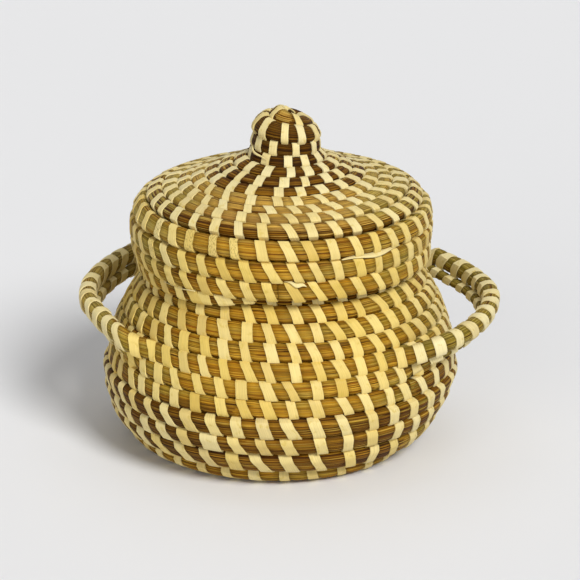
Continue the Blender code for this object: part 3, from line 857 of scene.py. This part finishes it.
def sew(name, line, sewn, first, last):
    """Palm strips over a bundle from one turn to another, joined as one piece."""
    here = (sewn["turns"] >= first) & (sewn["turns"] < last)
    many, size = here.sum(), len(strip_points)
    each = {key: np.repeat(values[here], size) for key, values in sewn.items()}
    across, height, share = [np.tile(column, many) for column in strip_points.T]
    angles = strip_angles(share)
    half = each["width"] / 2 * strip_width(angles) * across
    offset = half + each["slant"] * strip_offset(line, each["turns"], angles)
    turns = each["turns"] + line["sense"] * offset / surface_pace(line, each["turns"], angles)
    turns = np.clip(turns, line["turns"][0], line["turns"][-1])
    proud = -GRASS_SUNK + STRIP_THICKNESS * height * each["lift"]
    points = lay(line, turns, angles, proud, STRIP_DROP_SHARE)
    faces = (strip_faces + (np.arange(many) * size)[:, None, None]).reshape(-1, 4)
    mesh = bpy.data.meshes.new(name)
    mesh.from_pydata(points.tolist(), [], faces.tolist())
    layer = mesh.uv_layers.new(name="strip_map")
    loops = np.empty(len(mesh.loops), int)
    mesh.loops.foreach_get("vertex_index", loops)
    flat = np.stack([at(line, turns, "thick") * angles + each["tint"], half], axis=1)
    layer.data.foreach_set("uv", flat[loops].ravel())
    keep(mesh, {"strip_" + key: each[key] for key in ("tint", "pale", "speck")})
    piece = bpy.data.objects.new(name, mesh)
    scene.collection.objects.link(piece)
    bpy.context.view_layer.objects.active = piece
    piece.select_set(True)
    weld(capped=False)
    bpy.ops.object.shade_smooth_by_angle(angle=math.radians(40))
    piece.select_set(False)
    return piece


# %% [markdown]
# ## Small tools for the materials
#
# Both materials are built from the same few steps: noise stretched along the surface, values moved
# to another range, and colours mixed by a share. Patterns are sized in millimetres.

# %% Material helpers
def new_material(name):
    """A new material, with its nodes, its shader and the map of the surface in metres."""
    material = bpy.data.materials.new(name)
    material.use_nodes = True
    tree = material.node_tree
    return material, tree, tree.nodes["Principled BSDF"], add(tree, "UVMap").outputs["UV"]


def mapped(tree, place, along_mm, across_mm):
    """The map of the surface, with these millimetres as one step of a pattern."""
    scale = (1000 / along_mm, 1000 / across_mm, 1.0)
    return add(tree, "Mapping", {"Vector": place, "Scale": scale}).outputs[0]


def noise(tree, place, along_mm, across_mm, detail=2.0):
    """Noise with patches of these millimetres along and across the surface."""
    links = {"Vector": mapped(tree, place, along_mm, across_mm), "Scale": 1.0, "Detail": detail}
    return add(tree, "TexNoise", links, noise_dimensions="2D").outputs["Fac"]


def remap(tree, value, start, end, low, high):
    """A value moved from the range of start and end to that of low and high, and held there."""
    ranges = {"From Min": start, "From Max": end, "To Min": low, "To Max": high}
    return add(tree, "MapRange", {"Value": value, **ranges}).outputs[0]


def combine(tree, operation, *values, **settings):
    """Values put together by one step of arithmetic."""
    return add(tree, "Math", dict(enumerate(values)), operation=operation, **settings).outputs[0]


def blend(tree, share, first, second, kind="MIX"):
    """Two colours put together by a share."""
    links = {0: share, 6: first, 7: second}
    return add(tree, "Mix", links, data_type="RGBA", blend_type=kind).outputs[2]


def kept(tree, name):
    """A value that the mesh keeps on its points."""
    return add(tree, "Attribute", attribute_name=name).outputs["Fac"]


def ramp(tree, value, stops):
    """Colours along a value, from places and hex codes."""
    node = add(tree, "ValToRGB", {"Fac": value})
    elements = node.color_ramp.elements
    while len(elements) < len(stops):
        elements.new(0.5)
    for element, (place, code) in zip(elements, stops):
        element.position = place
        element.color = colour(code)
    return node.outputs[0]


# %% [markdown]
# ## Dried sweetgrass
#
# Sweetgrass dries to a warm straw gold, with a satin skin along each stem. The lines between the
# stems are darkened as painted shade. The dark rows are bulrush or older grass, brown to nearly
# black. The pattern follows the bundle's own map in metres: long thin cells are the stems, each with
# its own tint. Painted light makes the sides, back, top and handles more olive and the lid's top
# paler; painted shade darkens the grass beside each strip and low on the left.

# %% Sweetgrass material
STEM_LENGTH_MM, STEM_WIDTH_MM = 70.0, 0.48
FIBRE_LENGTH_MM, FIBRE_WIDTH_MM = 30.0, 0.16
BLOTCH_LENGTH_MM, BLOTCH_WIDTH_MM = 32.0, 6.0
GOLD_STEMS = [
    (0.0, "6E420A"), (0.2, "96640E"), (0.45, "AB7A16"),
    (0.72, "C2942E"), (0.88, "AE7C20"), (1.0, "854E0A"),
]
OLIVE_STEMS = [(0.0, "6E5C18"), (0.25, "887222"), (0.5, "9A8430"), (0.8, "B09A4E"), (1.0, "7E6820")]
DARK_STEMS = [(0.0, "341A00"), (0.3, "5A3402"), (0.6, "744A06"), (0.85, "9A6E1C"), (1.0, "3E2200")]
# A pale straw, mixed in as painted light.
PAINTED_LIGHT_STEM = colour("D2AC5C")


def sweetgrass():
    """Dry stems lying along a bundle, gold or dark by the share of dark stems, with painted light and
    shade.
    """
    material, tree, shader, place = new_material("dried_sweetgrass_stems")
    stems_at = mapped(tree, place, STEM_LENGTH_MM, STEM_WIDTH_MM)
    cells = {"Vector": stems_at, "Scale": 1.0, "Randomness": 0.85}
    stems = add(tree, "TexVoronoi", cells, voronoi_dimensions="2D", feature="F1")
    edges = add(tree, "TexVoronoi", cells, voronoi_dimensions="2D", feature="DISTANCE_TO_EDGE")
    edge = edges.outputs[0]
    fibres = noise(tree, place, FIBRE_LENGTH_MM, FIBRE_WIDTH_MM)
    blotch = noise(tree, place, BLOTCH_LENGTH_MM, BLOTCH_WIDTH_MM)
    each = add(tree, "SeparateColor", {"Color": stems.outputs["Color"]}).outputs

    # The olive share is partly the grass's own, in the random drift, and partly painted light on the
    # sides, back, top and handles.
    drift = remap(tree, blotch, 0.3, 0.7, -0.35, 0.45)
    olive_and_painted_light = combine(tree, "ADD", kept(tree, "olive_and_painted_light_share"), drift, use_clamp=True)
    straw = blend(tree, olive_and_painted_light, ramp(tree, each[0], GOLD_STEMS), ramp(tree, each[0], OLIVE_STEMS))
    # Painted light: the grass is mixed towards a pale straw on the lid's top and the far left handle.
    painted_light = combine(tree, "MULTIPLY", kept(tree, "painted_light_share"), 0.38)
    straw = blend(tree, painted_light, straw, PAINTED_LIGHT_STEM)
    share = kept(tree, "dark_and_painted_shade_share")
    lean = combine(tree, "ADD", each[1], remap(tree, blotch, 0.3, 0.7, -0.22, 0.22))
    is_dark = remap(tree, combine(tree, "SUBTRACT", share, lean), -0.04, 0.04, 0.0, 1.0)
    tone = blend(tree, is_dark, straw, ramp(tree, each[0], DARK_STEMS))

    streak = remap(tree, fibres, 0.3, 0.7, 0.58, 1.32)
    # Painted shade: the lines between the stems are darkened, and so is a deeper tone where the dark
    # share passes 1, which is the knob's own colour and painted shade low on the left.
    painted_stem_shade = remap(tree, edge, 0.0, 0.16, 0.54, 1.04)
    # Painted shade: the grass beside each strip, which the strip holds down, is darker.
    tucked = remap(tree, kept(tree, "free_share"), 0.0, 1.0, 0.66, 1.04)
    knob_tone_and_painted_shade = remap(tree, share, 0.95, 1.15, 1.0, 0.66)
    streaks_and_painted_stem_shade = combine(tree, "MULTIPLY", streak, painted_stem_shade)
    painted_shade_and_knob_tone = combine(tree, "MULTIPLY", tucked, knob_tone_and_painted_shade)
    tone = blend(tree, 1.0, tone, combine(tree, "MULTIPLY", streaks_and_painted_stem_shade, painted_shade_and_knob_tone), "MULTIPLY")
    tree.links.new(tone, shader.inputs["Base Color"])
    tree.links.new(remap(tree, fibres, 0.2, 0.8, 0.42, 0.68), shader.inputs["Roughness"])
    relief = combine(tree, "MULTIPLY_ADD", fibres, 0.25, combine(tree, "POWER", edge, 0.5))
    bump = add(tree, "Bump", {"Height": relief, "Strength": 0.6, "Distance": 0.0005})
    tree.links.new(bump.outputs[0], shader.inputs["Normal"])
    shader.inputs["IOR"].default_value = 1.46
    shader.inputs["Specular IOR Level"].default_value = 0.09
    return material


# %% [markdown]
# ## Split palm leaf
#
# Palm leaf dries to a cream yellow and keeps a smooth, slightly waxy skin with fine veins along
# its length. Some strips are greener and some darker, so each stitch has its own tint.

# %% Palm material
VEIN_LENGTH_MM, VEIN_WIDTH_MM = 12.0, 0.35
SPOT_MM = 3.0
DOT_LENGTH_MM, DOT_WIDTH_MM = 1.1, 0.5
PALM_TINTS = [(0.0, "CDAC52"), (0.2, "DABC60"), (0.5, "E2C66E"), (0.8, "E6CE80"), (1.0, "D8B95C")]
PALE_PALM, STAINED_PALM, DOTTED_PALM = colour("E4D6A2"), colour("C9AC48"), colour("7C6828")


def palm():
    """Split palm leaf: cream to yellow, veined along the strip, a little waxy."""
    material, tree, shader, place = new_material("split_palm_leaf")
    veins = noise(tree, place, VEIN_LENGTH_MM, VEIN_WIDTH_MM, 3.0)
    spots = remap(tree, noise(tree, place, SPOT_MM, SPOT_MM, 3.0), 0.60, 0.75, 0.0, 0.55)
    dots = remap(tree, noise(tree, place, DOT_LENGTH_MM, DOT_WIDTH_MM), 0.53, 0.64, 0.0, 0.6)
    leaf = ramp(tree, kept(tree, "strip_tint"), PALM_TINTS)
    # The paleness is partly the strips' own and partly painted light on the handles and the right side.
    leaf = blend(tree, kept(tree, "strip_pale"), leaf, PALE_PALM)
    leaf = blend(tree, spots, leaf, STAINED_PALM)
    leaf = blend(tree, 1.0, leaf, remap(tree, veins, 0.3, 0.7, 0.88, 1.05), "MULTIPLY")
    dots = combine(tree, "MULTIPLY", dots, kept(tree, "strip_speck"))
    tree.links.new(blend(tree, dots, leaf, DOTTED_PALM), shader.inputs["Base Color"])
    bump = add(tree, "Bump", {"Height": veins, "Strength": 0.35, "Distance": 0.0002})
    tree.links.new(bump.outputs[0], shader.inputs["Normal"])
    shader.inputs["Roughness"].default_value = 0.50
    shader.inputs["IOR"].default_value = 1.45
    shader.inputs["Specular IOR Level"].default_value = 0.25
    return material


GRASS, PALM = sweetgrass(), palm()
print("materials:", GRASS.name, PALM.name)


# %% [markdown]
# ## Gold and dark rows
#
# The maker changes colour by feeding dark grass into the bundle and letting it run out again, so
# a row doesn't change at a line: the share of dark stems climbs over a short way. Two rows are
# darker in their lower half than above it.

# %% Shares of dark stems
def basket_dark(turns, angles):
    """Share of dark stems in the basket's bundle."""
    low = ease(0.5 - np.sin(angles) * 1.2)
    share = 0.02 + 0.80 * between(turns, FOOT_END, BELLY_END)
    share = share + 0.85 * between(turns, 4.04, 4.24) * low
    share = share + 0.70 * between(turns, 4.24, HANDLE_START)
    share = share + 0.75 * between(turns, SHOULDER_END, 14.2)
    return np.clip(share, 0.0, 1.0)


def lid_dark(turns, angles):
    """Share of dark stems in the lid's bundle."""
    low = ease(0.5 - np.sin(angles) * 1.0)
    share = 0.02 + 0.96 * between(turns, -1.0, SKIRT_END) + 0.2 * between(turns, -1.0, 3.3, 0.3)
    share = share - 0.9 * between(turns, -0.07, 0.06, 0.05)
    share = share + between(turns, DOME_END, DARK_DOME_END) * (0.30 + 0.45 * low)
    share = share + 0.8 * between(turns, 13.87, 14.2)
    behind = 0.5 - 0.5 * np.cos(math.tau * turns)
    share = share - 0.65 * between(turns, 3.3, SKIRT_END, 0.8) * fade(behind, 0.2, 0.6)
    return np.clip(share, 0.0, 1.2)


# %% [markdown]
# ## Bands
#
# Each band of the solids is replaced by its own length of dressed bundle and its own stitches,
# so every named piece of the basket keeps its place and moves with its body.

# %% Dress the bands
GOLD, DARK, BROWN = "gold_sweetgrass", "dark_sweetgrass", "brown_sweetgrass"
BASKET_BANDS = [
    ("base_eye", EYE_END, GOLD), ("base_coil", FOOT_START, GOLD), ("foot_row", FOOT_END, GOLD),
    ("belly_band", BELLY_END, DARK), ("gold_belly_row", HANDLE_START, GOLD),
    ("lower_handle_row", HANDLE_SWAP, GOLD), ("upper_handle_row", HANDLE_END, GOLD),
    ("shoulder_band", SHOULDER_END, GOLD), ("neck_band", RIM_START, DARK), ("rim_row", RIM_END, BROWN),
]
LID_BANDS = [
    ("knob_coil", KNOB_END, BROWN), ("knob_skirt_band", SKIRT_END, DARK),
    ("gold_dome_band", DOME_END, GOLD), ("dark_dome_row", DARK_DOME_END, DARK),
    ("lid_side_band", SIDE_END, GOLD), ("lid_end_row", LID_END, GOLD),
]
BASKET_GRASS_SEED, LID_GRASS_SEED, WALL_GRASS_SEED = 100, 300, 600


def dress(bands, line, sewn, body, dark, seed):
    """Replace the solids of bands that follow each other with dressed bundle and stitches."""
    first = line["turns"][0]
    for number, (node, last, slot) in enumerate(bands):
        bundle = grass(node + "_grass", line, sewn, first, last, seed + number, dark)
        bundle.data.materials.append(GRASS)
        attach(bundle, body)
        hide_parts(node)
        strips = sew(node + "_palm_strips", line, sewn, first, last)
        strips.data.materials.append(PALM)
        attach(strips, body)
        print(node, len(bundle.data.polygons), "faces of grass,", len(strips.data.polygons), "of palm")
        first = last


dress(BASKET_BANDS, BASKET_LINE, BASKET_STITCHES, "basket", basket_dark, BASKET_GRASS_SEED)
dress(LID_BANDS, LID_LINE, LID_STITCHES, "lid", lid_dark, LID_GRASS_SEED)


# %% [markdown]
# ## Loose ends of palm
#
# A maker hides the end of each strip between two rows, and here and there one works loose again.
# A loose end is a narrow ribbon that tapers to both tips and lies along a row.

# %% Loose ends
LOOSE_RINGS, LOOSE_SIDES = 28, 8
LOOSE_MAP_LENGTH = 0.02
LOOSE_WAVE = (0.10, 9.0)
# Name, then the turns and the angles where it starts and ends, and its width
LOOSE_ENDS = [
    ("loose_end_right", 12.064, 12.142, 0.95, 1.05, 0.0024),
    ("loose_end_front", 13.004, 13.026, 1.0, 0.5, 0.0016),
    ("loose_end_left", 12.850, 12.905, -1.15, -0.75, 0.0012),
    ("loose_end_knob", 2.760, 2.925, 1.2, -0.10, 0.0009),
]


def loose_end(name, line, body, first, last, start, end, width):
    """A narrow ribbon of palm along a bundle, between two turns and two angles."""
    ribbon, along, around = flat_grid(name, LOOSE_RINGS, LOOSE_SIDES)
    around = around * math.tau
    taper = np.sqrt(np.sin(math.pi * np.clip(along, 0.01, 0.99)))
    turns = first + along * (last - first)
    middle = start + (end - start) * along + LOOSE_WAVE[0] * np.sin(LOOSE_WAVE[1] * along)
    angles = middle - width / 2 * taper * np.cos(around) / at(line, turns, "thick")
    proud = 0.00045 + 0.00045 * taper + 0.00022 * np.sin(around)
    points = lay(line, turns, angles, proud)
    values = {"strip_tint": 0.7, "strip_pale": 0.6, "strip_speck": 0.0}
    roll(ribbon, points, (LOOSE_MAP_LENGTH, width), (0.0, 0.0), values)
    ribbon.data.materials.append(PALM)
    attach(ribbon, body)
    print(name, len(ribbon.data.polygons), "faces")


for name, *place in LOOSE_ENDS:
    loose_end(name, LID_LINE, "lid", *place)

# %% [markdown]
# ## Behind the handles
#
# Where the two handle rows leave the wall, short bundles carry the wall on behind them. Each
# thins as the bow comes back to the wall, and its ends are hidden inside the bow.

# %% Wall pieces
BACKING_TIP = 0.0015
BACKING_REACH = 2.6
JOINT_GAP = 0.0003
WALL_STEP = 1 / 576
BOW_TURNS = np.arange(-144, 145) * WALL_STEP


def backing(side, level, place, middle):
    """A short bundle that fills the wall behind a handle and ends inside the bow."""
    bow = basket_winding.points(middle + BOW_TURNS, *place(middle + BOW_TURNS))

    def thickness(turns):
        wall = basket_winding.points(turns, *basket_winding.section(turns)[:2])
        apart = np.linalg.norm(bow[None] - wall[:, None], axis=2).min(axis=1)
        return np.minimum(basket_winding.cord(turns) - JOINT_GAP, BACKING_REACH * apart)

    def end(turn, step):
        while thickness(np.array([turn + step]))[0] > BACKING_TIP:
            turn += step
        return turn

    last = end(middle, WALL_STEP)
    line = basket_line(end(middle, -WALL_STEP), last, False, thickness)
    name = f"{side}_{level}_wall_piece"
    seed = WALL_STITCH_SEED + int(middle * 10)
    sewn = stitches(line, BASKET_COUNTS, BASKET_WIDTHS, BASKET_PALE, seed)
    dress([(name, last, GOLD)], line, sewn, "basket", basket_dark, WALL_GRASS_SEED)


for side, share in zip(("left", "right"), BOW_PLACES):
    backing(side, "lower", lower_bow, bow_middle(HANDLE_START, share))
    backing(side, "upper", upper_bow, bow_middle(HANDLE_SWAP, share))

# %% [markdown]
# ## The end
#
# At the end, nothing is left selected.

# %% Finish
bpy.ops.object.select_all(action="DESELECT")
